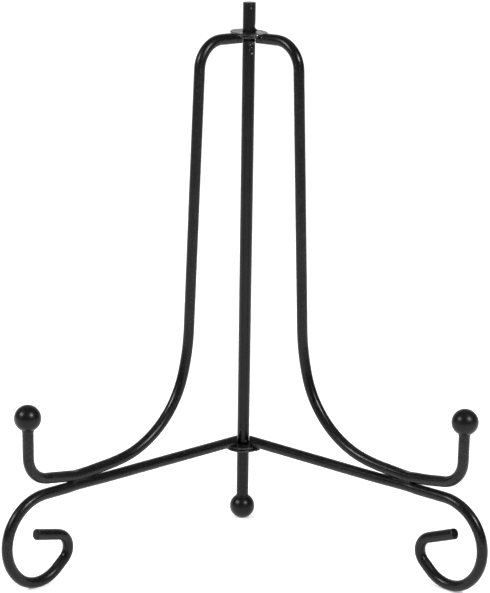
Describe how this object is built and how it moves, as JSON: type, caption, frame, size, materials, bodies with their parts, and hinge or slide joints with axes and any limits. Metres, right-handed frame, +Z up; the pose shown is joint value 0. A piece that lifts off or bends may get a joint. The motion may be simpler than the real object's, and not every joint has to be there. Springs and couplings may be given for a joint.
{
  "type": "plate display stand",
  "caption": "Folding black wire easel for a plate: a ball-footed post with hinged wings, each a sloping back wire with a ball-tipped hook on a foot wire that ends in a scroll.",
  "frame": {"origin": "on the post's axis, at the flat under the rear ball foot, on the table", "axes": "+Z up along the post; -Y to the front, where the hooks and scrolls are; +X to the viewer's right"},
  "size_m": [0.1792, 0.0907, 0.2115],
  "materials": {
    "black_powder_coat": "satin black powder coat on steel"
  },
  "bodies": {
    "post": {"post": "black_powder_coat", "rear_ball_foot": "black_powder_coat"},
    "left_wing": {"left_back_wire": "black_powder_coat", "left_foot_wire": "black_powder_coat", "left_hook_ball": "black_powder_coat", "left_top_hinge_tab": "black_powder_coat", "left_bottom_hinge_tab": "black_powder_coat"},
    "right_wing": {"right_back_wire": "black_powder_coat", "right_foot_wire": "black_powder_coat", "right_hook_ball": "black_powder_coat", "right_top_hinge_tab": "black_powder_coat", "right_bottom_hinge_tab": "black_powder_coat"}
  },
  "joints": [
    {"name": "left_wing_swing", "type": "hinge", "parent": "post", "child": "left_wing", "pos_m": [0, 0, 0], "axis": [0, 0, -1], "range_deg": [-13, 42.9]},
    {"name": "right_wing_swing", "type": "hinge", "parent": "post", "child": "right_wing", "pos_m": [0, 0, 0], "axis": [0, 0, 1], "range_deg": [-13, 42.9]}
  ]
}
